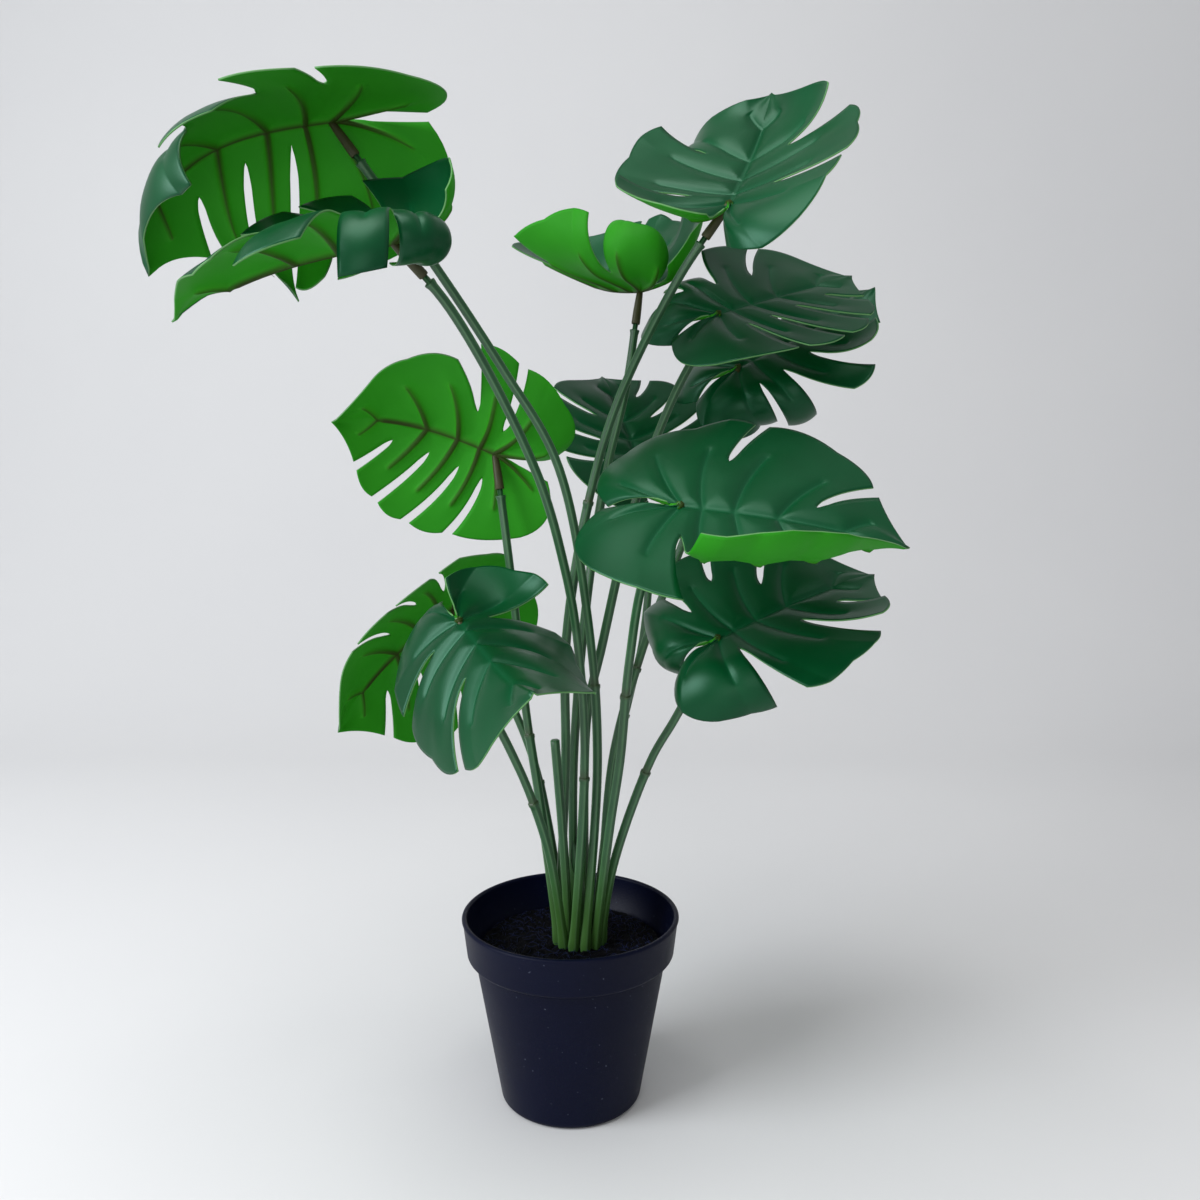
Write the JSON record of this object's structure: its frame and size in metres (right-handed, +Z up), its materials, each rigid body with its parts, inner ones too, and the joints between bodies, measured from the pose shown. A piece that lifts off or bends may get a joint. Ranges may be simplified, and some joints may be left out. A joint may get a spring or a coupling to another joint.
{
  "type": "potted artificial monstera plant",
  "caption": "Artificial split-leaf monstera with arching stems, fibre topping and a tapered dark pot with a collar.",
  "frame": {"origin": "centre of the pot's flat base, on the surface it stands on", "axes": "+Z up along the pot's axis, -Y towards the front, +X to the right seen from the front"},
  "size_m": [0.4371, 0.3593, 0.6575],
  "materials": {
    "pot": "matt dark navy plastic",
    "filler": "rough cement",
    "soil": "dark coconut fibre",
    "stem": "satin ribbed plastic",
    "leaf": "satin, with a lighter yellow-green underside"
  },
  "bodies": {
    "root": {"pot": "pot", "filler": "filler", "soil_topping": "soil", "crown": "stem", "stem_cut": "stem", "stem_top_left": "stem", "stem_upper_left": "stem", "stem_mid_left": "stem", "stem_low_left_back": "stem", "stem_low_left_front": "stem", "stem_top_right": "stem", "stem_centre_top": "stem", "stem_upper_right": "stem", "stem_right_back": "stem", "stem_centre_back": "stem", "stem_right_front": "stem", "stem_low_right": "stem", "leaf_top_left": "leaf", "leaf_upper_left": "leaf", "leaf_mid_left": "leaf", "leaf_low_left_back": "leaf", "leaf_low_left_front": "leaf", "leaf_top_right": "leaf", "leaf_centre_top": "leaf", "leaf_upper_right": "leaf", "leaf_right_back": "leaf", "leaf_centre_back": "leaf", "leaf_right_front": "leaf", "leaf_low_right": "leaf"}
  },
  "joints": []
}
